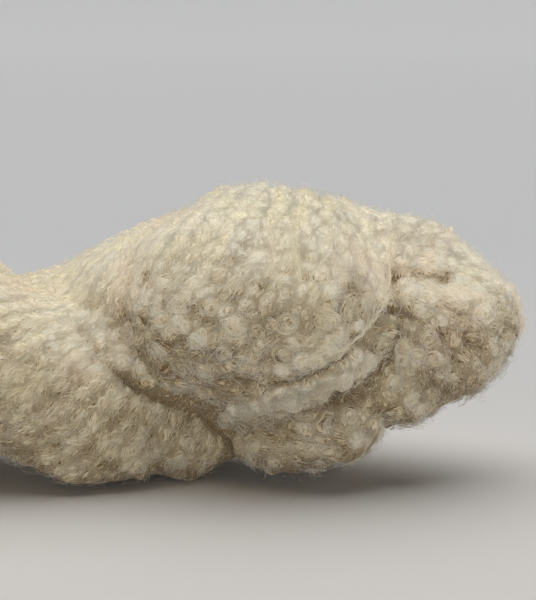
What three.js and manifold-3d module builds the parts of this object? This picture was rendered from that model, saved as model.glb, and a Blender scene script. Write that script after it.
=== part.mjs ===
// A twisted skein of boucle yarn, lying on a flat surface.
// Millimetres, +Z up. X runs along the skein, from its fold (-X) to its tucked end (+X). -Y is its front.
// The hank was twisted, folded in half and let twist back on itself, so two plies wind round each other.
// At the fold they are one bundle making a U-turn. At the other end ply A opens into a loop, the collar,
// and the end of ply B comes through it as a rounded nub.
import * as THREE from "three";
import { mergeVertices } from "three/addons/utils/BufferGeometryUtils.js";
import Module from "manifold-3d";

const { PI, sin, cos, sqrt } = Math;

// ---- Driving dimensions ----
const LENGTH = 280; // from the fold to the tip of the nub

// The rope, a row for each section across it, from the fold to the tucked end.
// height and back place its axis. turn is the angle of ply A round the axis, in degrees: 0 is the top and
// 90 the front. Ply B is opposite.
// reachA and reachB go from the axis to the middle of each ply, and a and b are the plies' radii.
// The skein is soft: it stands high where one ply lies on the other, and low where they lie side by side.
const SECTIONS = [
  { x: -98.5, height: 20, back: 4, turn: -274, reachA: 22, reachB: 22, a: 19.5, b: 19.5 },
  { x: -78, height: 25, back: 2, turn: -260, reachA: 18, reachB: 18, a: 21, b: 21 },
  { x: -42, height: 35, back: -2, turn: -184, reachA: 14, reachB: 15, a: 22, b: 23 },
  { x: -5, height: 32, back: -1, turn: -98, reachA: 13, reachB: 14, a: 21, b: 23 },
  { x: 15, height: 31, back: 0, turn: -57, reachA: 12, reachB: 13, a: 21, b: 24 },
  { x: 33, height: 34, back: 1, turn: -12, reachA: 12, reachB: 13, a: 23, b: 22 },
  { x: 55, height: 37, back: 1, turn: 28, reachA: 16, reachB: 13, a: 30, b: 22 },
  { x: 75, height: 39, back: 0, turn: 52, reachA: 16, reachB: 8, a: 30, b: 19 },
  { x: 100, height: 43, back: -2, turn: 62, reachA: 13, reachB: 2, a: 26, b: 16 },
];

const COLLAR = {
  x: 80, // its centre
  radius: 24.5, // of its centre line round the nub's neck
  thickness: 26, // radial
  width: 40, // along the skein
  lean: 0.2, // radians that its top leans towards the nub
};
const NUB = { x: 94, halfLength: LENGTH / 2 - 94, radius: 28.5, phase: 1.7 };

// The plies: where each ends, the length that its end is rounded over, and the phase of its swelling.
const PLY_A = { reach: "reachA", size: "a", angle: 0, end: 107, tip: 32, phase: 0.4 };
const PLY_B = { reach: "reachB", size: "b", angle: PI, end: NUB.x, tip: 10, phase: 2.9 };

const UNEVENNESS = 0.03; // share of a radius that the bundles swell and shrink by
const LONG_SWELL = 82; // length from one swelling to the next
const SHORT_SWELL = 46; // and from one of the smaller ones to the next
const FOLD_OVERLAP = 5; // length that each ply runs on past the middle of the fold, into the other
const FOLD_TAPER = 0.4; // how much of that length comes off its radius there

const SIDES = 34; // facets round a ply
const STEP = 4.5; // length of a facet along a ply
const TIP_ROWS = 8; // rows of facets on a rounded end
const NUB_ROWS = 16; // rows of facets along the nub
const COLLAR_SIDES = 20; // facets round the collar's section
const COLLAR_STEPS = 40; // facets round the collar
const WELD = 1e-3; // corners this near to each other are one

// ---- The rope's sections ----
const COLUMNS = ["height", "back", "turn", "reachA", "reachB", "a", "b"];
const FOLD = SECTIONS[0];
const END = SECTIONS.at(-1);
const between = new THREE.CubicInterpolant(
  SECTIONS.map((row) => row.x),
  SECTIONS.flatMap((row) => COLUMNS.map((column) => row[column])),
  COLUMNS.length,
);

/** The rope's section at any place along it. Beyond the table it stays as it is at the nearer end. */
function sectionAt(x) {
  const values = between.evaluate(THREE.MathUtils.clamp(x, FOLD.x, END.x));
  return Object.fromEntries(COLUMNS.map((column, i) => [column, values[i]]));
}

/** A point at a distance from the rope's axis, at an angle from its top towards its front. */
function pointAt(x, reach, angle) {
  const { height, back } = sectionAt(x);
  return new THREE.Vector3(x, back - reach * sin(angle), height + reach * cos(angle));
}

/** How much a bundle swells at a place along it, as a factor. There is none at 0 and before it. */
function swell(along, phase) {
  const share = UNEVENNESS * THREE.MathUtils.smoothstep(along, 0, SHORT_SWELL);
  const small = sin((2 * PI * along) / SHORT_SWELL + 2 * phase) / 2;
  return 1 + share * (sin((2 * PI * along) / LONG_SWELL + phase) + small);
}

// ---- Bundles of yarn ----

/** A closed round bundle along a centre line. It has no thickness at the first and the last station. */
function bundle(centre, radius, stations) {
  const last = stations.length - 1;
  const geometry = new THREE.SphereGeometry(1, SIDES, last);
  const position = geometry.getAttribute("position");
  const rows = stations.map((u, row) => {
    const along = centre(u + 0.5).sub(centre(u - 0.5)).normalize();
    const across = new THREE.Vector3(0, 0, 1).addScaledVector(along, -along.z).normalize();
    const side = new THREE.Vector3().crossVectors(across, along);
    return { middle: centre(u), across, side, size: row === 0 || row === last ? 0 : radius(u) };
  });
  for (let i = 0; i < position.count; i++) {
    const { middle, across, side, size } = rows[Math.floor(i / (SIDES + 1))];
    const turn = (2 * PI * (i % (SIDES + 1))) / SIDES;
    const point = middle.clone().addScaledVector(across, size * cos(turn));
    point.addScaledVector(side, size * sin(turn));
    position.setXYZ(i, point.x, point.y, point.z);
  }
  return geometry;
}

/** A ply, from the middle of the fold on. u is the length along it: 0 where the U-turn ends, less in it. */
function ply({ reach, size, angle, end, tip, phase }) {
  const middleOfFold = (-PI / 2) * FOLD[reach];
  const length = end - FOLD.x;
  const centre = (u) => {
    const bend = Math.max(0, -u / FOLD[reach]);
    const section = sectionAt(FOLD.x + u);
    const out = section[reach] * cos(bend);
    const point = pointAt(FOLD.x + u, out, THREE.MathUtils.degToRad(section.turn) + angle);
    return point.setX(FOLD.x + (u < 0 ? -FOLD[reach] * sin(bend) : u));
  };
  const radius = (u) => {
    const taper = FOLD_TAPER * Math.max(0, middleOfFold - u);
    const roundness = sqrt(1 - Math.max(0, 1 - (length - u) / tip) ** 2);
    return sectionAt(FOLD.x + u)[size] * swell(u, phase) * roundness - taper;
  };
  const start = middleOfFold - FOLD_OVERLAP;
  const steps = Math.round((length - tip - middleOfFold) / STEP);
  const stations = [start, start];
  for (let i = 0; i < steps; i++) {
    stations.push(THREE.MathUtils.lerp(middleOfFold, length - tip, i / steps));
  }
  for (let i = 0; i <= TIP_ROWS; i++) {
    stations.push(length - tip + tip * sin((PI / 2) * (i / TIP_ROWS)));
  }
  return bundle(centre, radius, stations);
}

/** The nub: the loop end of ply B, past the collar. */
function nub() {
  const radius = (x) => {
    const roundness = sqrt(Math.max(0, 1 - ((x - NUB.x) / NUB.halfLength) ** 2));
    return NUB.radius * roundness * swell(x, NUB.phase);
  };
  const stations = [];
  for (let i = 0; i <= NUB_ROWS; i++) {
    stations.push(NUB.x - NUB.halfLength * cos((PI * i) / NUB_ROWS));
  }
  return bundle((x) => pointAt(x, 0, 0), radius, stations);
}

/** The collar: the loop end of ply A, round the neck of the nub. */
function collar() {
  const geometry = new THREE.TorusGeometry(COLLAR.radius, COLLAR.thickness / 2, COLLAR_SIDES, COLLAR_STEPS);
  geometry.scale(1, 1, COLLAR.width / COLLAR.thickness);
  geometry.rotateY(PI / 2 + COLLAR.lean);
  const middle = pointAt(COLLAR.x, 0, 0);
  geometry.translate(middle.x, middle.y, middle.z);
  return geometry;
}

// ---- Joining them ----
const wasm = await Module();
wasm.setup();

/** A closed three.js geometry as a manifold-3d solid. */
function solid(geometry) {
  const bare = geometry.clone();
  bare.deleteAttribute("normal");
  bare.deleteAttribute("uv");
  const merged = mergeVertices(bare, WELD);
  return new wasm.Manifold(
    new wasm.Mesh({
      numProp: 3,
      vertProperties: new Float32Array(merged.getAttribute("position").array),
      triVerts: new Uint32Array(merged.index.array),
    }),
  );
}

/** A manifold-3d solid as a three.js geometry. */
function geometryOf(body) {
  const mesh = body.getMesh();
  const geometry = new THREE.BufferGeometry();
  geometry.setAttribute("position", new THREE.BufferAttribute(new Float32Array(mesh.vertProperties), 3));
  geometry.setIndex(new THREE.BufferAttribute(new Uint32Array(mesh.triVerts), 1));
  geometry.computeVertexNormals();
  return geometry;
}

/** Everything above the surface that the skein rests on. */
function aboveSurface() {
  const room = new THREE.BoxGeometry(2 * LENGTH, LENGTH, LENGTH);
  room.translate(0, 0, LENGTH / 2);
  return solid(room);
}

const pieces = [ply(PLY_A), ply(PLY_B), nub(), collar()].map(solid);
const joined = pieces.reduce((body, piece) => body.add(piece));
const skeinGeometry = geometryOf(joined.intersect(aboveSurface()));

// The origin is at the middle of the skein's box, on the surface.
skeinGeometry.computeBoundingBox();
const middle = skeinGeometry.boundingBox.getCenter(new THREE.Vector3());
skeinGeometry.translate(-middle.x, -middle.y, 0);

const wool = new THREE.MeshStandardMaterial({ color: 0xe2dac6, roughness: 0.95, metalness: 0 });
const skein = new THREE.Mesh(skeinGeometry, wool);
skein.name = "skein";

const part = new THREE.Group();
part.add(skein);

export default part;
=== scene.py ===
import math
from itertools import product

import bpy
import numpy as np
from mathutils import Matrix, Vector
from mathutils.bvhtree import BVHTree
from mathutils.kdtree import KDTree


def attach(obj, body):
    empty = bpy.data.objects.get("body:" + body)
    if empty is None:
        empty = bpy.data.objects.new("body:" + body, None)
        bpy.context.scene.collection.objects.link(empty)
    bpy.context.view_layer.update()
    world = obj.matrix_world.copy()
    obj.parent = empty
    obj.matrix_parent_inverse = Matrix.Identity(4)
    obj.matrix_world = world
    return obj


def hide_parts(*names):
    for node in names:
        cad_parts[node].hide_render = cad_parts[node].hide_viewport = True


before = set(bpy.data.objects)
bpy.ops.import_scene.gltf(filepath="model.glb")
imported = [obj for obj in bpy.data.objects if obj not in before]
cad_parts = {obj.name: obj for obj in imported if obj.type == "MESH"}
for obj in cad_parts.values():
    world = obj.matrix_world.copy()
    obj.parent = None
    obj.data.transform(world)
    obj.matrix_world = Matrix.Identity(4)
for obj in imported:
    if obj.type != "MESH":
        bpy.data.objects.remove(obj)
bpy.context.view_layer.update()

# A twisted skein of boucle yarn. Strands run over the CAD solid's surface, and curls lie along them in a soft
# fleece. Fine fibres run round the curls, along the strands and off the surface.
# Lengths are in millimetres, until a mesh, lamp or camera is made.
MM = 0.001
TURN = 2 * math.pi

rng = np.random.default_rng(7)

# ---- The rope, as in the part's source ----
# x, height, back, turn of ply A, reach of A, reach of B, radius of A, radius of B
SECTIONS = np.array([
    (-98.5, 20, 4, -274, 22, 22, 19.5, 19.5),
    (-78, 25, 2, -260, 18, 18, 21, 21),
    (-42, 35, -2, -184, 14, 15, 22, 23),
    (-5, 32, -1, -98, 13, 14, 21, 23),
    (15, 31, 0, -57, 12, 13, 21, 24),
    (33, 34, 1, -12, 12, 13, 23, 22),
    (55, 37, 1, 28, 16, 13, 30, 22),
    (75, 39, 0, 52, 16, 8, 30, 19),
    (100, 43, -2, 62, 13, 2, 26, 16),
])
FOLD_X = SECTIONS[0, 0]
FOLD_REACH = 22
PLY_ENDS = {"a": 107, "b": 94}
TIP = np.array([140, -2, 43])  # of the nub
NUB_X = 94
NUB_HALF_LENGTH = 46
NUB_RADIUS = 28.5

# ---- How the strands lie ----
LAY = math.radians(57)  # from a ply's length to its strands
STRAND_GAP = 5.0  # from one strand to the next
TRACE_STEP = 1.1  # along a strand while it is traced
STRAND_STEP = 1.4  # and along the finished one
LEAST_STRAND = 9  # its length
INSET = 2.0  # of the fleece under the strands
LOBE_START = (30, 48)  # along x, where the strands turn to the lobe's way
LOBE_MARGIN = 3  # that ply A may be further off than ply B there
COLLAR_START = (58, 70)
SLANT_ALONG, SLANT_UP = 0.68, 1.17  # of the lobe's strands, in degrees a millimetre
SLANT_START = 60
SLANTS = (10, 88)
NUB_START = (94, 100)
NUB_MARGIN = (4.5, 1.5)  # off the nub, where its way starts and where it is full
MOUTH_FRONT = np.array([101, -24, 56])  # where the nub's strands come out of the collar
MOUTH_BACK = np.array([98, 18, 22])  # and go in again
MOUTH_SIZE = 5
FORWARD = np.array([1.0, 0, 0])


# ---- Arrays of vectors ----
def unit(v):
    return v / np.maximum(np.linalg.norm(v, axis=-1, keepdims=True), 1e-9)


def smoothstep(x, low, high):
    t = np.clip((x - low) / (high - low), 0, 1)
    return t * t * (3 - 2 * t)


def dot(a, b):
    return (a * b).sum(-1, keepdims=True)


def waves(p, length, seed):
    """Smooth noise at points p, from -1 to 1, from a few sine waves of about this length."""
    own = np.random.default_rng(seed)
    total = np.zeros(p.shape[:-1])
    for _ in range(6):
        k = unit(own.normal(size=3)) * TURN / (length * own.uniform(0.7, 1.4))
        total += np.sin(p @ k + own.uniform(0, TURN))
    return total / 3


def vectors_at(at, lengths, vectors):
    """Vectors given at lengths along a line, at other lengths along it."""
    return np.stack([np.interp(at, lengths, vectors[:, i]) for i in range(3)], -1)


def resample(line, step):
    """Points at even steps along a line, and the length up to each."""
    lengths = np.concatenate([[0], np.cumsum(np.linalg.norm(np.diff(line, axis=0), axis=1))])
    count = max(6, int(round(lengths[-1] / step)) + 1)
    at = np.linspace(0, lengths[-1], count)
    return vectors_at(at, lengths, line), at


def kd_tree(points):
    tree = KDTree(len(points))
    for i, p in enumerate(points):
        tree.insert(p, i)
    tree.balance()
    return tree


class Grid:
    """Points, and what goes with each, kept in cubes to find those near a place."""

    def __init__(self, size):
        self.size = size
        self.cubes = {}

    def cube(self, q):
        return tuple(math.floor(c / self.size) for c in q)

    def add(self, q, *more):
        self.cubes.setdefault(self.cube(q), []).append((q, *more))

    def around(self, q):
        """What is in the cube of q and in the cubes next to it."""
        x, y, z = self.cube(q)
        for i, j, k in product((-1, 0, 1), repeat=3):
            yield from self.cubes.get((x + i, y + j, z + k), ())


# ---- The plies, and the way that the strands run ----
def section_at(x):
    """Rows of the rope's sections at each x, without the x."""
    at, rows = SECTIONS[:, 0], SECTIONS[:, 1:]
    slopes = np.gradient(rows, at, axis=0)
    x = np.clip(x, at[0], at[-1])
    i = np.clip(np.searchsorted(at, x, side="right") - 1, 0, len(at) - 2)
    step = (at[i + 1] - at[i])[:, None]
    t = (x - at[i])[:, None] / step
    return (
        rows[i] * (1 + 2 * t) * (1 - t) ** 2
        + slopes[i] * step * t * (1 - t) ** 2
        + rows[i + 1] * t * t * (3 - 2 * t)
        + slopes[i + 1] * step * t * t * (t - 1)
    )


def ply_line(ply):
    """Points a millimetre apart in the middle of a ply, the directions there, and the ply's radii."""
    u = np.arange(-math.pi / 2 * FOLD_REACH, PLY_ENDS[ply] - FOLD_X, 1.0)
    bend = np.maximum(0, -u / FOLD_REACH)
    height, back, turn, reach_a, reach_b, radius_a, radius_b = section_at(FOLD_X + u).T
    reach = (reach_a if ply == "a" else reach_b) * np.cos(bend)
    angle = np.radians(turn) + (0 if ply == "a" else math.pi)
    x = FOLD_X + np.where(u < 0, -FOLD_REACH * np.sin(bend), u)
    points = np.stack([x, back - reach * np.sin(angle), height + reach * np.cos(angle)], 1)
    return points, unit(np.gradient(points, axis=0)), radius_a if ply == "a" else radius_b


def rope_directions(p, n):
    """The way that strands run round the plies, and how far points p are off each ply."""
    above, along = [], []
    for ply in "ab":
        points, directions, radii = ply_line(ply)
        tree = kd_tree(points)
        near = np.array([tree.find(q)[1] for q in p])
        above.append(np.linalg.norm(p - points[near], axis=1) - radii[near])
        along.append(directions[near])
    t = np.where((above[0] < above[1])[:, None], along[0], along[1])
    t = unit(t - n * dot(t, n))
    return math.cos(LAY) * t + math.sin(LAY) * np.cross(n, t), above


def lobe_directions(p, axis):
    """The way that they run in the lobe and the collar, from along the skein to round it."""
    around = unit(np.cross(unit(p - axis), FORWARD))
    slant = np.radians(np.clip(SLANT_ALONG * p[:, :1] + SLANT_UP * p[:, 2:] - SLANT_START, *SLANTS))
    return np.cos(slant) * FORWARD + np.sin(slant) * around


def nub_directions(p):
    """The way that they run on the nub: out of the collar, round its end and in again behind."""
    leave, enter = p - MOUTH_FRONT, MOUTH_BACK - p
    flow = leave / np.maximum(MOUTH_SIZE**2, dot(leave, leave)) ** 1.5
    return unit(flow + enter / np.maximum(MOUTH_SIZE**2, dot(enter, enter)) ** 1.5)


def strand_directions(p, n):
    """The way that the strands run at points p of the surface, whose normals are n."""
    rope, above = rope_directions(p, n)
    section = section_at(p[:, 0])
    lobe = lobe_directions(p, np.stack([p[:, 0], section[:, 1], section[:, 0]], 1))
    in_lobe = smoothstep(p[:, :1], *LOBE_START) * (above[0] < above[1] + LOBE_MARGIN)[:, None]
    in_collar = smoothstep(p[:, :1], *COLLAR_START)
    field = unit(rope + (lobe - rope) * np.maximum(in_lobe, in_collar))
    radius = NUB_RADIUS * np.sqrt(np.maximum(0, 1 - ((p[:, 0] - NUB_X) / NUB_HALF_LENGTH) ** 2))
    from_axis = np.hypot(p[:, 1] - section[:, 1], p[:, 2] - section[:, 0])
    on_nub = smoothstep(p[:, 0], *NUB_START) * smoothstep(from_axis - radius, *NUB_MARGIN)
    field = field + (nub_directions(p) - field) * on_nub[:, None]
    return unit(field - n * dot(field, n))


# ---- Meshes ----
FIBRE_SIDES = 3
FIBRE_LENGTH = 3.0  # of the streaks in the wool
FIBRE_WIDTH = 0.35
MOST_SHADE = 1.3


def add_object(name, data):
    item = bpy.data.objects.new(name, data)
    bpy.context.scene.collection.objects.link(item)
    return item


def add_piece(name, points, faces, material):
    """A smooth mesh object from points in millimetres. faces is a list of arrays of corners."""
    mesh = bpy.data.meshes.new(name)
    loops = np.concatenate([f.ravel() for f in faces])
    sizes = np.concatenate([np.full(len(f), f.shape[1]) for f in faces])
    mesh.vertices.add(len(points))
    mesh.vertices.foreach_set("co", (points * MM).astype(np.float32).ravel())
    mesh.loops.add(len(loops))
    mesh.loops.foreach_set("vertex_index", loops.astype(np.int32))
    mesh.polygons.add(len(sizes))
    starts = np.concatenate([[0], np.cumsum(sizes)[:-1]])
    mesh.polygons.foreach_set("loop_start", starts.astype(np.int32))
    mesh.polygons.foreach_set("use_smooth", np.ones(len(sizes), bool))
    mesh.update(calc_edges=True)
    mesh.materials.append(material)
    return add_object(name, mesh)


def set_look(piece, grain, shade):
    """Each point's place in the grain, and its shade."""
    places = piece.data.attributes.new("grain", "FLOAT_VECTOR", "POINT")
    places.data.foreach_set("vector", grain.astype(np.float32).ravel())
    shades = piece.data.attributes.new("shade", "FLOAT", "POINT")
    shades.data.foreach_set("value", np.clip(shade, 0, MOST_SHADE).astype(np.float32))


class Tubes:
    """Closed tubes with pointed ends along lines, an array (line, point, 3). across is a direction across
    each line at each point, and radii the thickness there."""

    def __init__(self, lines, across, radii):
        sides = FIBRE_SIDES
        count, length = lines.shape[:2]
        along = unit(np.gradient(lines, axis=1))
        side = unit(across - along * dot(across, along))
        other = np.cross(along, side)
        turn = TURN * np.arange(sides) / sides
        out = np.cos(turn)[:, None] * side[:, 1:-1, None] + np.sin(turn)[:, None] * other[:, 1:-1, None]
        rings = lines[:, 1:-1, None] + radii[:, 1:-1, None, None] * out
        points = np.concatenate([lines[:, :1], rings.reshape(count, -1, 3), lines[:, -1:]], 1)
        self.points = points.reshape(-1, 3)
        self.line = np.repeat(np.arange(count), points.shape[1])

        ring = np.arange(length - 2)[:, None] * sides + 1
        here, beside = ring + np.arange(sides), ring + (np.arange(sides) + 1) % sides
        walls = np.stack([here[:-1], beside[:-1], beside[1:], here[1:]], -1).reshape(-1, 4)
        start = np.stack([np.zeros(sides, int), beside[0], here[0]], -1)
        end = np.stack([here[-1], beside[-1], np.full(sides, points.shape[1] - 1)], -1)
        first = (np.arange(count) * points.shape[1])[:, None, None]
        self.quads = (walls + first).reshape(-1, 4)
        self.triangles = (np.concatenate([start, end]) + first).reshape(-1, 3)

        # The grain is stretched along the fibres, and starts elsewhere on each tube.
        steps = np.linalg.norm(np.diff(lines, axis=1), axis=2)
        run = np.concatenate([np.zeros((count, 1)), np.cumsum(steps, 1)], 1) / FIBRE_LENGTH
        around = np.stack([np.cos(turn), np.sin(turn)], 1) * (radii[:, 1:-1, None, None] / FIBRE_WIDTH)
        inner = np.concatenate([np.repeat(run[:, 1:-1, None, None], sides, 2), around], 3)
        ends = run[:, [0, -1], None] * (1, 0, 0)
        grain = np.concatenate([ends[:, :1], inner.reshape(count, -1, 3), ends[:, 1:]], 1)
        self.grain = (grain + rng.uniform(0, 90, (count, 1, 3))).reshape(-1, 3)


def add_tubes(name, parts, material, shades):
    """One piece from several Tubes. shades has a number for each of their lines, in order."""
    starts = np.cumsum([0] + [len(part.points) for part in parts])
    lines = np.cumsum([0] + [part.line[-1] + 1 for part in parts])
    points = np.concatenate([part.points for part in parts])
    quads = np.concatenate([part.quads + start for part, start in zip(parts, starts)])
    triangles = np.concatenate([part.triangles + start for part, start in zip(parts, starts)])
    line = np.concatenate([part.line + start for part, start in zip(parts, lines)])
    piece = add_piece(name, points, [quads, triangles], material)
    set_look(piece, np.concatenate([part.grain for part in parts]), shades[line])
    return piece


# ---- The solid, and routes over its front ----
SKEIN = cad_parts["skein"]
SKEIN_POINTS = np.array([v.co for v in SKEIN.data.vertices]) / MM
SOLID = BVHTree.FromPolygons(SKEIN_POINTS.tolist(), [tuple(face.vertices) for face in SKEIN.data.polygons])
# From the source to the frame
SHIFT = (SKEIN_POINTS[SKEIN_POINTS[:, 0].argmax()] - TIP) * (1, 1, 0)
FAR = 500  # in front of the skein


def on_front(route):
    """The points of the solid's front at each x and z of a route."""
    backwards = Vector((0, 1, 0))
    starts = [Vector((x + SHIFT[0], -FAR, z)) for x, z in route]
    return np.array([SOLID.ray_cast(start, backwards)[0] for start in starts])


# The grooves between groups of strands: their depth, width and route. A ridge is less than 0 deep.
CREASE_ROUTES = [
    # The collar's edge, and under it
    (0.9, 2.2, [(103, 61), (103, 50), (99, 46)]),
    (-0.9, 1.5, [(100, 66), (100, 58), (96, 49), (90, 45), (84, 41), (73, 36)]),
    # Between the two bands that sweep under the lobe
    (2.7, 1.9, [(98, 48), (95, 44), (91, 39.5), (85, 35.5), (79, 32), (72, 30.5), (64, 30), (57, 31)]),
    # The lower band, the groove behind it, and under it
    (-1.5, 2.4, [(96, 36), (90, 33.5), (80, 28.5), (70, 25), (60, 22)]),
    (1.4, 2.4, [(104, 44), (101, 36), (97, 32)]),
    (0.7, 2.4, [(79, 22), (71, 18), (62, 15)]),
    # The pocket
    (7.5, 3.1, [(88, 26), (92, 27)]),
    # The nub: where it leaves the collar, its long groove, and the ridge and folds under that
    (1.7, 2.2, [(102, 51), (106, 48)]),
    (1.3, 2.2, [(103, 59), (110, 60), (118, 58)]),
    (-0.5, 1.8, [(108, 55), (116, 54), (126, 51)]),
    (0.5, 1.4, [(107, 50), (110, 46), (110, 40), (111, 36)]),
    (0.5, 1.4, [(115, 46), (116, 42)]),
    (0.5, 1.8, [(122, 44), (123, 40), (129, 39)]),
    # Small pits in the lobe
    (0.8, 1.4, [(91, 48), (94, 49)]),
    (0.9, 1.4, [(56, 54), (60, 56)]),
    (0.7, 1.4, [(78, 60), (81, 60)]),
    (1.15, 1.5, [(46, 43), (50, 40)]),
    # Between the plies
    (1.2, 1.8, [(20, 45), (26, 37), (32, 32)]),
    (2.5, 2.5, [(32, 31), (39, 26), (47, 22), (53, 17), (60, 12)]),
]
# Rows of raised curls: the route of each
ROW_ROUTES = [
    [(57, 21), (64, 24), (69, 26), (75, 29), (85, 33), (90, 35), (95, 37)],
    [(69, 36), (78, 38), (86, 41), (90, 43), (93, 46)],
    [(27, 39), (35, 33), (39, 30), (44, 29), (49, 28), (53, 24)],
]
# Locks of fine fibre: the route of each. The first few have a bright thread too.
LOCK_ROUTES = [
    [(101, 68), (101, 65), (100, 57), (98, 51), (94, 46), (90, 43), (84, 42), (74, 38)],
    [(69, 76), (71, 69), (69, 62)],
    [(75, 76), (76, 68), (78, 58)],
    [(88, 73), (84, 66), (82, 62)],
    [(108, 60), (114, 56), (119, 55), (128, 53)],
    [(103, 41), (104, 34), (105, 28)],
    [(98, 38), (92, 35), (81, 30), (72, 27), (62, 24)],
]
# Where the soft yarn stands out further than the solid, or less far: how much, width, and x, y and z
SWELL_ROUTES = [
    # The top of the lobe, in front of it, and over the nub's neck
    (2.8, 13.0, [(68, -6, 81), (84, -6, 78)]),
    (-4.0, 11.0, [(32, -6, 72), (44, -6, 77)]),
    (4.6, 8.0, [(104, -4, 69), (114, -3, 67)]),
    # Under the collar, the nub and the lobe
    (5.4, 8.0, [(92, -25, 15), (99, -21, 21), (110, -20, 23)]),
    (2.2, 6.0, [(122, -17, 26), (128, -18, 32)]),
    (3.4, 7.0, [(80, -24, 10), (90, -27, 14)]),
    (5.0, 7.0, [(48, -11, 4), (60, -13, 9), (72, -19, 8)]),
    # Under ply B
    (5.5, 8.0, [(16, -29, 5), (30, -26, 4), (44, -19, 4)]),
]
CREASES = [(depth, width, on_front(route)) for depth, width, route in CREASE_ROUTES]
ROWS = [on_front(route) for route in ROW_ROUTES]
LOCKS = [on_front(route) for route in LOCK_ROUTES]
SWELLS = [(height, width, np.array(route, float) + SHIFT) for height, width, route in SWELL_ROUTES]

# ---- The surface that the strands lie on ----
GUIDE_VOXEL = 2.2
GUIDE_SOFTENING = 5
CAVITY_REACH = 30  # rounds of evening out that find the cavities
CAVITY_DEPTH = 1.6
CAVITY_FILL = 1.2


def curliness(p):
    """Where the yarn lies in open curls, 1, and where its fibres are combed along the strands, 0."""
    in_lobe = smoothstep(p[:, 0], 16, 38) * (1 - 0.7 * smoothstep(p[:, 2], 50, 68))
    in_lobe *= 1 - 0.5 * smoothstep(62 - 0.83 * p[:, 0] - p[:, 2], 0, 6)  # less on ply B, below a slant
    in_fold = 0.8 * smoothstep(p[:, 0], -6, -26)
    return np.clip(np.maximum(in_lobe, in_fold) + 0.35 * waves(p, 30, seed=24), 0.05, 1)


def topside(n):
    """How much the surface faces up, from its normals."""
    return smoothstep(n[:, 2], 0.0, 0.8)


def tufts(p):
    """How far the fibres' tufts raise the surface at points p."""
    return 0.5 * waves(p, 12, seed=21) + 0.3 * waves(p, 6, seed=22)


def depth_along(p, depth, width, route):
    """How deep a groove along a route is at points p."""
    nearest = np.full(len(p), 1e9)
    for a, b in zip(route[:-1], route[1:]):
        t = np.clip((p - a) @ (b - a) / ((b - a) @ (b - a)), 0, 1)
        nearest = np.minimum(nearest, np.linalg.norm(p - a - t[:, None] * (b - a), axis=1))
    return depth * np.exp(-((nearest / width) ** 2))


def crease_at(p):
    """How deep all the grooves are together at points p."""
    return sum(depth_along(p, *crease) for crease in CREASES)


def raised(points, normals, cavity):
    """How far the tufts and swellings raise the surface, less what the grooves lower it."""
    height = tufts(points) * (1 - 0.5 * topside(normals)) + CAVITY_FILL * cavity
    height += sum(depth_along(points, *swell) for swell in SWELLS)
    height -= crease_at(points)
    return height * smoothstep(points[:, 2], 0.3, 3)


def remeshed(voxel, softening):
    """The points, normals and faces of the solid's surface, in even squares and softened."""
    copy = add_object("remeshed", SKEIN.data.copy())
    remesh = copy.modifiers.new("remesh", "REMESH")
    remesh.mode = "VOXEL"
    remesh.voxel_size = voxel * MM
    smooth = copy.modifiers.new("smooth", "SMOOTH")
    smooth.iterations = softening
    bpy.context.view_layer.update()
    mesh = copy.evaluated_get(bpy.context.evaluated_depsgraph_get()).data
    points = np.array([v.co for v in mesh.vertices]) / MM
    normals = np.array([v.normal for v in mesh.vertices])
    faces = np.array([tuple(face.vertices) for face in mesh.polygons])
    bpy.data.objects.remove(copy)
    return points, normals, faces


def face_normals(points, faces):
    """Each point's normal, from the faces round it."""
    corners = points[faces]
    normals = np.cross(corners[:, 2] - corners[:, 0], corners[:, 3] - corners[:, 1])
    total = np.zeros_like(points)
    for i in range(4):
        np.add.at(total, faces[:, i], normals)
    return unit(total)


class Guide:
    """The CAD solid's surface, softened, with its grooves and tufts and the directions of the strands."""

    def __init__(self, voxel, softening):
        self.points, self.normals, self.faces = remeshed(voxel, softening)
        edges = np.concatenate([self.faces, np.roll(self.faces, 1, axis=1)]).reshape(2, -1)
        self.links = np.concatenate([edges, edges[::-1]], 1)

        wide = self.even_out(self.points, CAVITY_REACH)
        self.cavity = np.clip(((wide - self.points) * self.normals).sum(1) / CAVITY_DEPTH, 0, 1)
        self.crease = crease_at(self.points)
        self.points = self.points + self.normals * raised(self.points, self.normals, self.cavity)[:, None]
        self.normals = self.even_out(face_normals(self.points, self.faces), 1)
        self.tree = BVHTree.FromPolygons(self.points.tolist(), self.faces.tolist())

        # The directions are lines without a sign, so they are evened out as tensors.
        field = strand_directions(self.points - SHIFT, self.normals)
        tensor = self.even_out(field[:, :, None] * field[:, None, :], 6)
        self.field = np.linalg.eigh(tensor)[1][:, :, -1]
        self.even_normals = unit(self.even_out(self.normals, 5))
        self.field = unit(self.field - self.even_normals * dot(self.field, self.even_normals))

    def even_out(self, values, rounds):
        """The points' values, with each made the mean of itself and its neighbours in each round."""
        for _ in range(rounds):
            total = values.copy()
            count = np.ones(len(values))
            np.add.at(total, self.links[0], values[self.links[1]])
            np.add.at(count, self.links[0], 1)
            values = total / count.reshape(-1, *[1] * (values.ndim - 1))
        return values

    def nearest(self, q):
        """The nearest point of the surface, the corners of its face, and how much each counts."""
        spot, _, face, _ = self.tree.find_nearest(q)
        corners = self.faces[face]
        gaps = self.points[corners] - spot
        return spot, corners, 1 / ((gaps * gaps).sum(1) + 0.01)

    def project(self, points):
        """The nearest points of the surface to each of some points, and the even normals there."""
        spots, normals = np.empty_like(points), np.empty_like(points)
        for i, q in enumerate(points):
            spot, corners, weights = self.nearest(q)
            spots[i] = spot
            normals[i] = weights @ self.even_normals[corners]
        return spots, unit(normals)


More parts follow.
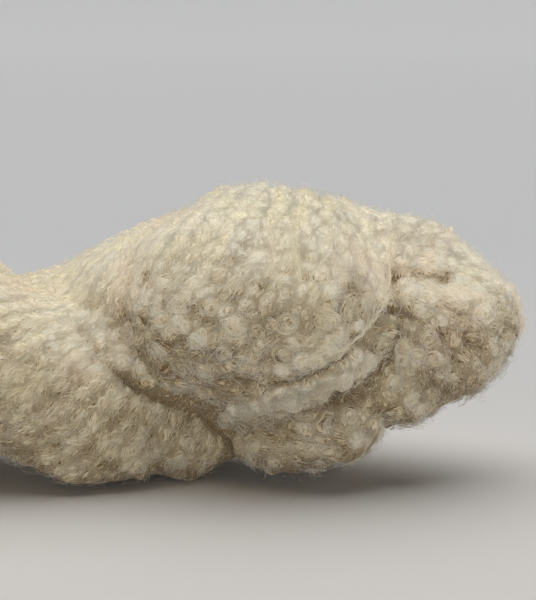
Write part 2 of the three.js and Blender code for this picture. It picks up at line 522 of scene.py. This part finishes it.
# ---- Strands ----
MOST_STEPS = 900  # from a strand's start, each way
START_CLEAR = 0.96  # of the gap, between a strand's start and the others
STAY_CLEAR = 0.62  # and between the rest of it and the others
OWN_LENGTH = 2.5  # of that distance, along the strand, is its own


class Traces:
    """Lines over the guide's surface along its directions, evenly spaced."""

    def __init__(self, guide):
        self.guide = guide
        self.grid = Grid(STRAND_GAP)
        self.lines = []
        self.trace_all()

    def clear(self, q, distance, own=None, here=0):
        """Whether no line passes within a distance of q. Near points of the line itself don't count."""
        for p, line, index in self.grid.around(q):
            if line == own and abs(index - here) * TRACE_STEP < OWN_LENGTH * distance:
                continue
            gap = p - q
            if gap.dot(gap) < distance * distance:
                return False
        return True

    def march(self, start, sign, line):
        """Points from start on, until another line is too near."""
        guide, found = self.guide, []
        spot, corners, weights = guide.nearest(start)
        heading = None
        for i in range(1, MOST_STEPS):
            vectors = guide.field[corners]
            lead = vectors[0] * sign if heading is None else heading
            vectors = np.where((vectors @ lead)[:, None] < 0, -vectors, vectors)
            heading = weights @ vectors
            heading /= np.linalg.norm(heading) + 1e-9
            ahead = spot + Vector(heading * TRACE_STEP)
            spot, corners, weights = guide.nearest(ahead)
            if not self.clear(spot, STAY_CLEAR * STRAND_GAP, line, sign * i):
                break
            found.append(spot)
            self.grid.add(spot, line, sign * i)
        return found

    def trace(self, start):
        """One more line, both ways from its start."""
        line = len(self.lines)
        spot = self.guide.nearest(start)[0]
        self.grid.add(spot, line, 0)
        forward = self.march(spot, 1, line)
        backward = self.march(spot, -1, line)
        self.lines.append(np.array([p[:] for p in backward[::-1] + [spot] + forward]))

    def trace_all(self):
        """Lines from the highest point on, each started beside one that is there."""
        guide = self.guide
        self.trace(Vector(guide.points[guide.points[:, 2].argmax()]))
        done = 0
        while done < len(self.lines):
            for p in self.lines[done][::2]:
                q = Vector(p)
                corner = guide.nearest(q)[1][0]
                ahead = Vector(guide.field[corner])
                side = ahead.cross(Vector(guide.even_normals[corner])).normalized()
                for sign in (1, -1):
                    seed = guide.nearest(q + side * (sign * STRAND_GAP))[0]
                    if self.clear(seed, START_CLEAR * STRAND_GAP):
                        self.trace(seed)
            done += 1
        self.lines = [line for line in self.lines if len(line) * TRACE_STEP > LEAST_STRAND]


class Strand:
    """One strand's path on the guide's surface, and the directions there."""

    def __init__(self, guide, line):
        for _ in range(6):
            line[1:-1] = (line[:-2] + 2 * line[1:-1] + line[2:]) / 4
        points, self.at = resample(line, STRAND_STEP)
        self.path, self.normals = guide.project(points)
        self.along = unit(np.gradient(self.path, axis=0))
        self.across = unit(np.cross(self.along, self.normals))

    def frame_at(self, at):
        """Its path, and the directions along it, across it and off the surface, at some lengths."""
        return [vectors_at(at, self.at, v) for v in (self.path, self.along, self.across, self.normals)]


guide = Guide(GUIDE_VOXEL, GUIDE_SOFTENING)
strands = [Strand(guide, line) for line in Traces(guide).lines]


def route_strand(route):
    return Strand(guide, resample(route, TRACE_STEP)[0])


# ---- Wool ----
WOOL_SURFACE = {
    "Roughness": 0.95,
    "Specular IOR Level": 0.15,
    "Sheen Weight": 0.4,
    "Sheen Roughness": 0.5,
    "Sheen Tint": (1, 0.94, 0.82, 1),
    "Subsurface Radius": (1, 0.95, 0.9),
    "Subsurface Scale": 0.5 * MM,
}
RELIEF_DEPTH = 0.2
# The dark end of the shade ramp, reached in the painted shade of the deepest grooves
DEEPEST = (0.24, 0.17, 0.09)  # colour at a shade of 0
DEEP_AT = 0.35  # the shade of a wool's deep colour
TINT_SIZE = 22  # of the patches that are a little rosier or more golden
TINTS = [(0.3, (1, 0.97, 0.955)), (0.5, (1, 1, 1)), (0.7, (1, 0.99, 0.945))]


def new_material(name):
    material = bpy.data.materials.new(name)
    material.use_nodes = True
    return material, material.node_tree.nodes, material.node_tree.links


def color_ramp(nodes, stops):
    """A ramp of colours, from the place and colour of each stop."""
    ramp = nodes.new("ShaderNodeValToRGB")
    first, *others, last = stops
    for element, (place, color) in zip(ramp.color_ramp.elements, (first, last)):
        element.position = place
        element.color = (*color, 1)
    for place, color in others:
        ramp.color_ramp.elements.new(place).color = (*color, 1)
    return ramp


def noise_of(nodes, links, vector, scale, detail):
    noise = nodes.new("ShaderNodeTexNoise")
    noise.inputs["Scale"].default_value = scale
    noise.inputs["Detail"].default_value = detail
    links.new(vector, noise.inputs["Vector"])
    return noise.outputs["Fac"]


def attribute_of(nodes, name, output):
    attribute = nodes.new("ShaderNodeAttribute")
    attribute.attribute_name = name
    return attribute.outputs[output]


def shaded(nodes, links, streaks, streak, color, deep):
    """The wool's colour at its shade, made lighter and darker by the streaks."""
    spread = nodes.new("ShaderNodeMath")
    spread.operation = "MULTIPLY_ADD"
    spread.inputs[1].default_value = streak * 6
    spread.inputs[2].default_value = -streak * 3
    links.new(streaks, spread.inputs[0])
    total = nodes.new("ShaderNodeMath")
    total.operation = "ADD"
    links.new(spread.outputs["Value"], total.inputs[0])
    links.new(attribute_of(nodes, "shade", "Fac"), total.inputs[1])
    ramp = color_ramp(nodes, [(0, DEEPEST), (DEEP_AT, deep), (1, color)])
    links.new(total.outputs["Value"], ramp.inputs["Fac"])
    return ramp.outputs["Color"]


def tinted(nodes, links, color):
    """A colour with wide, faint patches of other tints."""
    place = nodes.new("ShaderNodeTexCoord").outputs["Object"]
    tints = color_ramp(nodes, TINTS)
    links.new(noise_of(nodes, links, place, 1 / (TINT_SIZE * MM), 1), tints.inputs["Fac"])
    mix = nodes.new("ShaderNodeMixRGB")
    mix.blend_type = "MULTIPLY"
    mix.inputs["Fac"].default_value = 1
    links.new(color, mix.inputs["Color1"])
    links.new(tints.outputs["Color"], mix.inputs["Color2"])
    return mix.outputs["Color"]


def wool(name, color, deep, streak, bump, soft=0.0, through=0.0):
    """Cream wool. The attribute "shade", which carries painted light and shade as well as the wool's own
    tone, goes from DEEPEST, at 0, past the deep colour to the colour, at 1, and "grain" is a place that
    stretches along the fibres. soft is how much light spreads in it, and through the share that passes to its
    other side."""
    material, nodes, links = new_material(name)
    shader = nodes["Principled BSDF"]
    for socket, value in WOOL_SURFACE.items():
        shader.inputs[socket].default_value = value
    shader.inputs["Subsurface Weight"].default_value = soft
    streaks = noise_of(nodes, links, attribute_of(nodes, "grain", "Vector"), 1, 3)
    base = tinted(nodes, links, shaded(nodes, links, streaks, streak, color, deep))
    links.new(base, shader.inputs["Base Color"])
    relief = nodes.new("ShaderNodeBump")
    relief.inputs["Strength"].default_value = bump
    relief.inputs["Distance"].default_value = RELIEF_DEPTH * MM
    links.new(streaks, relief.inputs["Height"])
    links.new(relief.outputs["Normal"], shader.inputs["Normal"])
    if through:
        lit_behind = nodes.new("ShaderNodeBsdfTranslucent")
        links.new(base, lit_behind.inputs["Color"])
        mix = nodes.new("ShaderNodeMixShader")
        mix.inputs["Fac"].default_value = through
        links.new(shader.outputs["BSDF"], mix.inputs[1])
        links.new(lit_behind.outputs["BSDF"], mix.inputs[2])
        links.new(mix.outputs["Shader"], nodes["Material Output"].inputs["Surface"])
    return material


# Each one's colour, deep colour, and how strong its streaks and relief are
FLEECE_WOOL = wool("wool_fleece", (0.94, 0.9, 0.772), (0.69, 0.575, 0.385), 0.42, 1.0, soft=0.5)
FIBRE_WOOL = wool("wool_fibre", (0.96, 0.94, 0.873), (0.79, 0.715, 0.55), 0.1, 0.3, through=0.45)
THREAD_WOOL = wool("wool_thread", (1.0, 0.97, 0.86), (0.9, 0.84, 0.69), 0.1, 0.3, through=0.5)

# ---- Curls of the boucle ----
CURL_GAP = 3.3  # along a strand
ROW_GAP = 4.6  # along a row of raised curls
BARE_GAP = 3.5  # a place with none so near gets one too
CURL_SHIFT = 0.9  # off its strand, mostly
CURL_HEIGHT = 1.0
LEAST_RADIUS = 1.3
RADIUS_SPREAD = 1.5
TIGHT_SHARE = 0.28
ROW_CURL = (2.2, 1.1, 1.15)  # radius, height and stretch of a curl in a row
ROW_LAYER = 1.2  # how far it stands out
PALEST = 0.2  # tone


def along_strands(gap, strands):
    """Places along each strand, a gap apart, with the strand's directions there."""
    found = []
    for s in strands:
        at = np.arange(rng.uniform(1, gap), s.at[-1] - 1, gap)
        found.append(s.frame_at(at + rng.uniform(-1, 1, len(at))))
    return [np.concatenate(values) for values in zip(*found)]


def bare_places(places, distance):
    """Corners of the guide that aren't near any of some places, or each other."""
    grid = Grid(distance)
    for p in places:
        grid.add(p)
    bare = []
    for v in rng.permutation(len(guide.points)):
        q = guide.points[v]
        if all(((p - q) ** 2).sum() > distance**2 for (p,) in grid.around(q)):
            bare.append(v)
            grid.add(q)
    return bare


def curl_places():
    """Each curl's place, its strand's directions there, and whether it is in a row of raised ones.
    Underneath, half are left out."""
    frames = along_strands(CURL_GAP, strands)
    bare = bare_places(frames[0], BARE_GAP)
    along, normals = guide.field[bare], guide.even_normals[bare]
    more = (guide.points[bare], along, np.cross(along, normals), normals)
    frames = [np.concatenate(pair) for pair in zip(frames, more)]
    keep = (frames[3][:, 2] > -0.6) | (rng.random(len(frames[0])) < 0.5)
    frames = [values[keep] for values in frames]
    rows = along_strands(ROW_GAP, [route_strand(route) for route in ROWS])
    in_row = np.arange(len(frames[0]) + len(rows[0])) >= len(frames[0])
    return [np.concatenate(pair) for pair in zip(frames, rows)], in_row


class Curls:
    """The curls that the yarn's fluffy thread makes: flat swirls that overlap on the surface."""

    def __init__(self):
        (places, along, across, normals), in_row = curl_places()
        self.count = len(places)
        places = places + across * rng.normal(0, CURL_SHIFT, (self.count, 1))
        near = np.array([guide.nearest(p)[1][0] for p in places])
        self.hollow = np.clip(0.3 * guide.cavity[near] + guide.crease[near] / 3, 0, 1)
        self.curly = curliness(places) * np.where(rng.random(self.count) < TIGHT_SHARE, 0.35, 1)
        self.curly[in_row] = 0.8
        self.turn(along, across, normals)
        top = topside(normals)
        self.shape(in_row, top)
        layer = rng.random(self.count) * (0.4 + 1.0 * self.curly)
        layer[in_row] = ROW_LAYER
        out = layer * (1 - 0.4 * top) - 0.5 * self.hollow - INSET
        self.middle = places + normals * out[:, None]

        # Its tone adds to its shade: painted shade makes it less in hollows and on lower layers, painted
        # light more where it stands out, on ridges and in rows, and waves and a random spread add its own
        # tone.
        aside = 1 - 0.7 * top
        self.tone = aside * (0.25 * (layer - 0.6) + 0.1 * waves(places, 13, seed=26) - 0.35 * self.hollow)
        # Painted light where it faces up, fading out away from the lobe
        self.tone += (0.1 - 0.1 * smoothstep(places[:, 0], 35, 5)) * top
        self.tone += rng.normal(0, 0.04, self.count) * self.curly * aside
        ridge = np.clip(-guide.crease[near], 0, 1)
        self.tone = np.minimum(self.tone + 0.14 * ridge + 0.05 * in_row, PALEST)

        # Its share of the fibres: less in hollows and underneath, and more where it stands out.
        under = (normals[:, 2] < -0.6) & (places[:, 2] < 6)
        self.share = self.radius**2 * self.stretch * np.where(under, 0.2, 1) * (0.5 + 0.9 * layer)
        self.share *= (1 - 0.85 * self.hollow * aside) * np.where(in_row, 0.45, 1) * (1 + 0.25 * top)

    def turn(self, along, across, normals):
        """Turns and tilts each curl, open ones the most."""
        lean = rng.normal(0, 0.2 + 0.4 * self.curly)[:, None]
        ahead = along * np.cos(lean) + across * np.sin(lean)
        tilt = np.radians(np.abs(rng.normal(0, 6 + 10 * self.curly)))[:, None]
        towards = rng.uniform(0, TURN, self.count)[:, None]
        self.up = unit(normals + np.tan(tilt) * (along * np.cos(towards) + across * np.sin(towards)))
        self.along = unit(ahead - self.up * dot(ahead, self.up))
        self.across = np.cross(self.up, self.along)

    def shape(self, in_row, top):
        """Open curls are wide, round and high, with a dent in the middle. Others are long and low."""
        size = rng.random(self.count) ** 1.6
        self.radius = LEAST_RADIUS + self.curly * RADIUS_SPREAD * size * (1 - 0.3 * self.hollow)
        self.stretch = 2.1 - self.curly * rng.uniform(0.75, 1.15, self.count)
        height = 0.45 + self.curly * rng.uniform(0, 0.75, self.count)
        self.height = CURL_HEIGHT * height * (1 - 0.4 * self.hollow)
        self.height *= 1 - 0.25 * top
        self.radius[in_row], self.height[in_row], self.stretch[in_row] = ROW_CURL
        self.dent = self.curly * rng.uniform(0, 1.6, self.count)

    def dome(self, r, k):
        """The height of curl k at r of its radius from its middle."""
        rise = np.clip(1 - r * r, 0, 1)
        return self.height[k] * rise * (1 + self.dent[k] * r * r) / (1 + 0.3 * self.dent[k])

    def place(self, k, r, angle, lift):
        """Points on curl k, at r of its radius and an angle, lifted off it."""
        a = (r * np.cos(angle) * self.radius[k] * self.stretch[k])[..., None]
        b = (r * np.sin(angle) * self.radius[k])[..., None]
        h = (self.dome(r, k) + lift)[..., None]
        return above_floor(self.middle[k] + a * self.along[k] + b * self.across[k] + h * self.up[k])


def above_floor(points):
    points[..., 2] = np.maximum(points[..., 2], 0.3)
    return points


curls = Curls()

# ---- The fleece ----
FLEECE_VOXEL = 1.1
FLEECE_SOFTENING = 6
FLEECE_BOTTOM = 0.05
CURLS_NEAR = 6  # how many may shape a point
BLEND = 0.3  # how smoothly the curls run into each other
FLEECE_PALEST = 0.8  # but for the top
# Painted light on top: the shade that the upward-facing fleece goes to, and how far
TOP_SHADE = 1.12
PAINTED_LIGHT_ON_TOP = 0.9  # how far its shade goes to that
DULLER_ALONG = 0.12  # how much less that is away from the lobe
# Painted shade underneath: how much darker the fleece is where it faces down
PAINTED_SHADE_BELOW = 0.3
# Painted shade in the grooves and painted light on the ridges, by their depth
CREASE_SHADE = 0.26  # how much less it is for each millimetre of a groove


def raise_curls(points, normals, near):
    """How high the curls at each point stand, and the rise, tone and grain of the highest."""
    top, rise, tone = np.zeros((3, len(points)))
    total = np.ones(len(points))
    grain = np.zeros_like(points)
    for order, k in enumerate(near.T):
        gap = points - curls.middle[k]
        a = dot(gap, curls.along[k])[:, 0] / (curls.radius[k] * curls.stretch[k])
        b = dot(gap, curls.across[k])[:, 0] / curls.radius[k]
        r = np.hypot(a, b)
        plane = -dot(gap, curls.up[k])[:, 0] / np.maximum(0.5, dot(normals, curls.up[k])[:, 0])
        height = np.clip(plane, -1, 1.6) * smoothstep(r, 1.2, 0.8) + 0.8 * curls.dome(r, k)
        total += np.exp(height / BLEND)
        better = (height > top) | (order == 0)
        top = np.where(better, height, top)
        rise = np.where(better, curls.dome(r, k) / CURL_HEIGHT, rise)
        tone = np.where(better, curls.tone[k], tone)
        swirl = np.stack([r * curls.radius[k] / FIBRE_WIDTH, a / (r + 0.01), b / (r + 0.01)], 1)
        combed = np.stack([b * curls.radius[k] / FIBRE_WIDTH, a * 4 / FIBRE_LENGTH, 0 * a], 1)
        own = np.where(((curls.curly[k] > 0.5) & (r < 1.3))[:, None], swirl, combed) + 7.3 * k[:, None]
        grain = np.where(better[:, None], own, grain)
    return BLEND * np.log(total), rise, tone, grain


def fleece_shade(points, normals, rise, tone):
    """Painted light and shade: pale on the curls, painted shade between them and in the hollows on top,
    painted light palest on top, and painted shade underneath.
    """
    shade = 0.4 - 0.12 * curliness(points) + 0.32 * rise + 0.7 * tone + 0.2 * tufts(points)
    shade = np.minimum(shade, FLEECE_PALEST)
    # Painted shade in the hollows between the curls on top, deeper towards the fold
    hollow = (0.27 + 0.13 * smoothstep(points[:, 0], -2, -40)) * smoothstep(rise, 0.3, 0.02)
    paler = TOP_SHADE - DULLER_ALONG * smoothstep(points[:, 0], 35, 5) - hollow
    shade += PAINTED_LIGHT_ON_TOP * topside(normals) * (paler - shade)
    return shade - PAINTED_SHADE_BELOW * smoothstep(-normals[:, 2], 0.1, 0.7)


def fleece_piece():
    """The soft mass under the fibres, with the curls raised on it."""
    points, normals, faces = remeshed(FLEECE_VOXEL, FLEECE_SOFTENING)
    tree = kd_tree(curls.middle)
    cavity = np.empty(len(points))
    near = np.empty((len(points), CURLS_NEAR), int)
    for i, p in enumerate(points):
        _, corners, weights = guide.nearest(p)
        cavity[i] = weights @ guide.cavity[corners] / weights.sum()
        near[i] = [found[1] for found in tree.find_n(p, CURLS_NEAR)]
    crease = crease_at(points)
    points = points + normals * (raised(points, normals, cavity) - INSET)[:, None]
    normals = face_normals(points, faces)
    height, rise, tone, grain = raise_curls(points, normals, near)
    points = points + normals * height[:, None]
    points[:, 2] = np.maximum(points[:, 2], FLEECE_BOTTOM)
    piece = add_piece("fleece", points, [faces], FLEECE_WOOL)
    # Painted shade in the grooves, and painted light on the ridges
    shade = fleece_shade(points, normals, rise, tone) - CREASE_SHADE * np.maximum(crease, -1)
    set_look(piece, grain, shade)
    return piece


fleece = fleece_piece()

# ---- Fibres on the curls ----
# How many fibres, the points along each, and their shade
ARCS = (28300, 4, 0.82)
COMBED = (8400, 6, 0.8)
FUZZ = (40000, 3, 0.85)
PIECE_LIMIT = 190000  # triangles
OPEN_GROUND = (0.4, 1.6)  # the depth of groove that a fibre lies over
COMBED_WAVE = 4.5  # length of a combed fibre's wave


def between(limits, *shape):
    """Random numbers within limits."""
    return rng.uniform(*limits, shape)


def any_angle(*shape):
    return between((0, TURN), *shape)


def thickness(limits, count, t):
    return between(limits, count, 1) * np.ones(len(t))


def arc_tubes(k, t):
    """Fine fibres that run round curls k."""
    n = len(k)
    reach = 1.1 + 0.4 * topside(curls.up[k])
    r = (0.1 + reach * rng.beta(2.2, 1.5, n))[:, None] * (1 + rng.normal(0, 0.2, (n, 1)) * (t - 0.5))
    angle = any_angle(n, 1) + between((1.2, 2.6), n, 1) * t
    lift = 0.15 + rng.exponential(0.35, (n, 1)) + rng.exponential(0.3, (n, 1)) * np.sin(math.pi * t)
    aside = curls.along[k] * rng.normal(0, 0.3, (n, 1)) + curls.across[k] * rng.normal(0, 0.3, (n, 1))
    return curls.place(k[:, None], r, angle, lift) + aside[:, None], thickness((0.05, 0.12), n, t)


def combed_tubes(k, t):
    """Wavy fibres that run along the strands at curls k."""
    n = len(k)
    start = curls.place(k, between((0, 1), n), any_angle(n), 0.2)
    length = between((5, 9), n, 1)
    swing = between((0.2, 0.6), n, 1)
    phase = any_angle(n, 1)
    drift = rng.normal(0, 0.3, (n, 1))
    aside = swing * np.sin(phase + t * length * TURN / COMBED_WAVE) + drift * t * length
    lift = 0.35 * np.sin(math.pi * t) + 0.25 * np.cos(phase + t * length * 1.9)
    paths = start[:, None] + curls.along[k][:, None] * (length * (t - 0.5))[..., None]
    paths = paths + curls.across[k][:, None] * aside[..., None] + curls.up[k][:, None] * lift[..., None]
    return above_floor(paths), thickness((0.045, 0.09), n, t)


def fuzz_tubes(k, t):
    """Fine fibres that leave curls k and end free."""
    n = len(k)
    start = curls.place(k, between((0.2, 1), n), any_angle(n), 0.1)
    heading = any_angle(n, 1)
    ahead = curls.along[k] * np.cos(heading) + curls.across[k] * np.sin(heading)
    aside = np.cross(curls.up[k], ahead)
    length = between((1.5, 4.5), n, 1, 1)
    bend = rng.normal(0, 0.9, (n, 1, 1))
    rise = np.minimum(0.3 + rng.exponential(0.7, (n, 1, 1)), 2.4)
    at = t[:, None]
    run = ahead[:, None] * (at - 0.3 * bend**2 * at**3) + aside[:, None] * bend * at * at
    paths = start[:, None] + length * run + curls.up[k][:, None] * rise * np.sin(2.2 * at)
    return above_floor(paths), thickness((0.04, 0.065), n, t)


def fibre_pieces(name, tubes, share, total, points, shade):
    """Fibres on the curls, but for the grooves, in as many pieces as keep each under its limit."""
    chosen = rng.choice(curls.count, total, p=share / share.sum())
    triangles = 2 * FIBRE_SIDES * (points - 2)  # a fibre
    pieces = []
    for i, k in enumerate(np.array_split(chosen, math.ceil(total * triangles / PIECE_LIMIT))):
        paths, radii = tubes(k, np.linspace(0, 1, points))
        facing = np.repeat(curls.up[k][:, None], points, 1)
        shows = crease_at(paths[:, points // 2]) < between(OPEN_GROUND, len(k))
        # Each fibre takes its curl's tone, painted light and shade included, with a random spread
        tones = (shade + curls.tone[k] + rng.normal(0, 0.08 + 0.1 * curls.curly[k]))[shows]
        parts = [Tubes(paths[shows], facing[shows], radii[shows])]
        pieces.append(add_tubes(f"{name}_{i + 1}", parts, FIBRE_WOOL, tones))
    return pieces


arcs = fibre_pieces("arcs", arc_tubes, curls.share * curls.curly, *ARCS)
combed = fibre_pieces("combed", combed_tubes, curls.share * (1.35 - curls.curly), *COMBED)
fuzz = fibre_pieces("fuzz", fuzz_tubes, curls.share, *FUZZ)

# ---- The bright thread ----
THREAD_STEP = 0.6
THREAD_RADIUS = 0.2
THREAD_SHADE = 0.8
LEAST_THREAD = 12  # steps
ZIGZAG = 3.1  # length from one zigzag to the next
TWIST = 1.9  # length of one turn of its plies round each other
THREADED_LOCKS = 3  # the first few


def zigzag(path, normals, across, run, swing=0.5, lift=0.0):
    """Two plies, tightly twisted, in a zigzag along a path. run is the length along it."""
    zig = TURN * run / ZIGZAG + rng.uniform(0, 6.28) + 1.6 * waves(path, 6, seed=61)
    ends = smoothstep(np.minimum(run - run[0], run[-1] - run), 0, 4)
    plies = []
    for ply in (0, math.pi):
        twist = TURN * run / TWIST + ply
        sideways = swing * np.sin(zig) + 0.2 * np.cos(twist)
        up = (1.8 + lift) * ends - 1.5 + 0.5 * swing * np.cos(2 * zig) + 0.2 * np.sin(twist)
        line = path + across * sideways[:, None] + normals * up[:, None]
        plies.append(Tubes(line[None], normals[None], np.full((1, len(run)), THREAD_RADIUS)))
    return plies


def even_steps(s):
    """Lengths along a strand, a step apart, and its path, normals and directions across there."""
    at = np.arange(0, s.at[-1], THREAD_STEP)
    path, _, across, normals = s.frame_at(at)
    return at, path, unit(normals), unit(across)


def thread_piece():
    """The bright thread that holds the loops, where it shows."""
    plies = []
    for s in strands:
        at, path, normals, across = even_steps(s)
        shows = (waves(path, 22, seed=60) + 0.5 - 1.3 * curliness(path) > 0.2) & (normals[:, 2] > 0)
        shows &= crease_at(path) < 0.4
        edges = np.flatnonzero(np.diff(np.concatenate([[0], shows.astype(int), [0]])))
        for first, last in zip(edges[::2], edges[1::2]):
            if last - first >= LEAST_THREAD:
                part = slice(first, last)
                plies += zigzag(path[part], normals[part], across[part], at[part])
    for route in LOCKS[:THREADED_LOCKS]:
        at, path, normals, across = even_steps(route_strand(route))
        plies += zigzag(path, normals, across, at, swing=0.25, lift=0.4)
    return add_tubes("threads", plies, THREAD_WOOL, np.full(len(plies), THREAD_SHADE))


threads = thread_piece()

# ---- Locks ----
LOCK_FIBRES = 2.5  # a millimetre
LOCK_POINTS = 6
LOCK_WAVE = 2.6  # length of a fibre's wave
LOCK_SHADE = 0.85
MOST_FIBRES = 5000


def lock(s):
    """Fine wavy fibres along a strand, close together."""
    count = int(LOCK_FIBRES * s.at[-1])
    t = np.linspace(0, 1, LOCK_POINTS)
    length = between((4, 9), count, 1)
    at = np.clip(rng.uniform(-2, s.at[-1] - 3, (count, 1)) + t * length, 0, s.at[-1])
    path, _, across, normals = s.frame_at(at)
    phase = any_angle(count, 1)
    sideways = rng.normal(0, 0.8, (count, 1)) + 0.35 * np.sin(phase + at * TURN / LOCK_WAVE)
    sideways = sideways + rng.normal(0, 0.9, (count, 1)) * (t - 0.4) ** 2
    up = rng.normal(0.3, 0.35, (count, 1)) + 0.25 * np.cos(phase + at * TURN / LOCK_WAVE)
    lines = path + across * sideways[..., None] + normals * up[..., None]
    return Tubes(lines, normals, thickness((0.05, 0.1), count, t))


def lock_piece():
    tones = rng.normal(LOCK_SHADE, 0.12, MOST_FIBRES)
    return add_tubes("locks", [lock(route_strand(route)) for route in LOCKS], FIBRE_WOOL, tones)


locks = lock_piece()

for piece in (threads, locks, *arcs, *combed, *fuzz):
    piece.visible_shadow = False  # the fleece under them casts it
for piece in (fleece, threads, locks, *arcs, *combed, *fuzz):
    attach(piece, "root")
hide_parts("skein")

# ---- Floor ----
# Painted light on the floor: lighter and warmer near the front, darker and cooler far off
FLOOR_NEAR_LIT = (0.785, 0.76, 0.73)  # colours
FLOOR_FAR_DIM = (0.665, 0.67, 0.688)
FLOOR_FADE = (-0.2, 0.5)  # metres, from the near colour to the far one
FLOOR_RINGS = [1, 2, 3.5]  # metres
FLOOR_REACH = 5  # metres, to where it starts to curve up
FLOOR_BEND = 5
FLOOR_RISE = math.radians(70)  # how steep it gets
FLOOR_STEPS = 24
FLOOR_SIDES = 96


def floor_material():
    """Pale paint, with painted light: a little warmer and lighter near the front, darker and cooler far off.
    """
    material, nodes, links = new_material("backdrop")
    shader = nodes["Principled BSDF"]
    shader.inputs["Roughness"].default_value = 0.85
    place = nodes.new("ShaderNodeTexCoord")
    split = nodes.new("ShaderNodeSeparateXYZ")
    links.new(place.outputs["Object"], split.inputs["Vector"])
    depth = nodes.new("ShaderNodeMapRange")
    depth.inputs["From Min"].default_value, depth.inputs["From Max"].default_value = FLOOR_FADE
    links.new(split.outputs["Y"], depth.inputs["Value"])
    ramp = color_ramp(nodes, [(0, FLOOR_NEAR_LIT), (1, FLOOR_FAR_DIM)])
    links.new(depth.outputs["Result"], ramp.inputs["Fac"])
    links.new(ramp.outputs["Color"], shader.inputs["Base Color"])
    return material


def floor_piece():
    """A round floor that curves up far behind whatever side it is seen from."""
    bend = np.linspace(0, FLOOR_RISE, FLOOR_STEPS)
    reach = np.concatenate([FLOOR_RINGS, FLOOR_REACH + FLOOR_BEND * np.sin(bend)])[:, None] / MM
    height = np.concatenate([[0] * len(FLOOR_RINGS), FLOOR_BEND * (1 - np.cos(bend))])[:, None] / MM
    turn = TURN * np.arange(FLOOR_SIDES) / FLOOR_SIDES
    rings = np.stack([reach * np.cos(turn), reach * np.sin(turn), height + 0 * turn], -1)
    here = np.arange(len(reach) - 1)[:, None] * FLOOR_SIDES + np.arange(FLOOR_SIDES)
    beside = np.roll(here, -1, 1)
    walls = np.stack([here, here + FLOOR_SIDES, beside + FLOOR_SIDES, beside], -1).reshape(-1, 4)
    return add_piece("floor", rings.reshape(-1, 3), [np.arange(FLOOR_SIDES)[None], walls], floor_material())


floor = floor_piece()
floor.visible_shadow = False  # light reaches the object through the floor's rising rim

# ---- Light ----
SKY = (0.97, 0.985, 1.0, 1)
SKY_STRENGTH = 0.03
# Energy, degrees across, colour, and direction from the object
LIGHTS = {
    "overhead": (2.2, 80, (1, 0.995, 0.98), (-0.03, 0.26, 1)),
    "front": (0.46, 30, (1, 0.98, 0.965), (-0.2, -1, 0.12)),
}


def soft_light(name, energy, angle, color, towards):
    """A wide light from far away, in a direction from the object."""
    lamp = bpy.data.lights.new(name, "SUN")
    lamp.energy = energy
    lamp.angle = math.radians(angle)
    lamp.color = color
    add_object(name, lamp).rotation_euler = (-Vector(towards)).to_track_quat("-Z", "Y").to_euler()


world = bpy.data.worlds.new("studio")
world.use_nodes = True
sky = world.node_tree.nodes["Background"].inputs
sky["Color"].default_value = SKY
sky["Strength"].default_value = SKY_STRENGTH
bpy.context.scene.world = world
for name, values in LIGHTS.items():
    soft_light(name, *values)

# ---- The camera, at the photograph's angle ----
ELEVATION = math.radians(9)
DISTANCE = 520
LOOK_AT = np.array([69, 0, 48.8])
LENS = 111.4
NEAR_CLIP = 0.01  # metres

camera = bpy.data.cameras.new("camera")
camera.lens = LENS
camera.clip_start = NEAR_CLIP
view = add_object("camera", camera)
away = Vector(np.array([0, -math.cos(ELEVATION), math.sin(ELEVATION)]) * DISTANCE)
view.location = (Vector(LOOK_AT + SHIFT) + away) * MM
view.rotation_euler = (-away).to_track_quat("-Z", "Y").to_euler()
bpy.context.scene.camera = view
bpy.context.scene.view_settings.view_transform = "Standard"
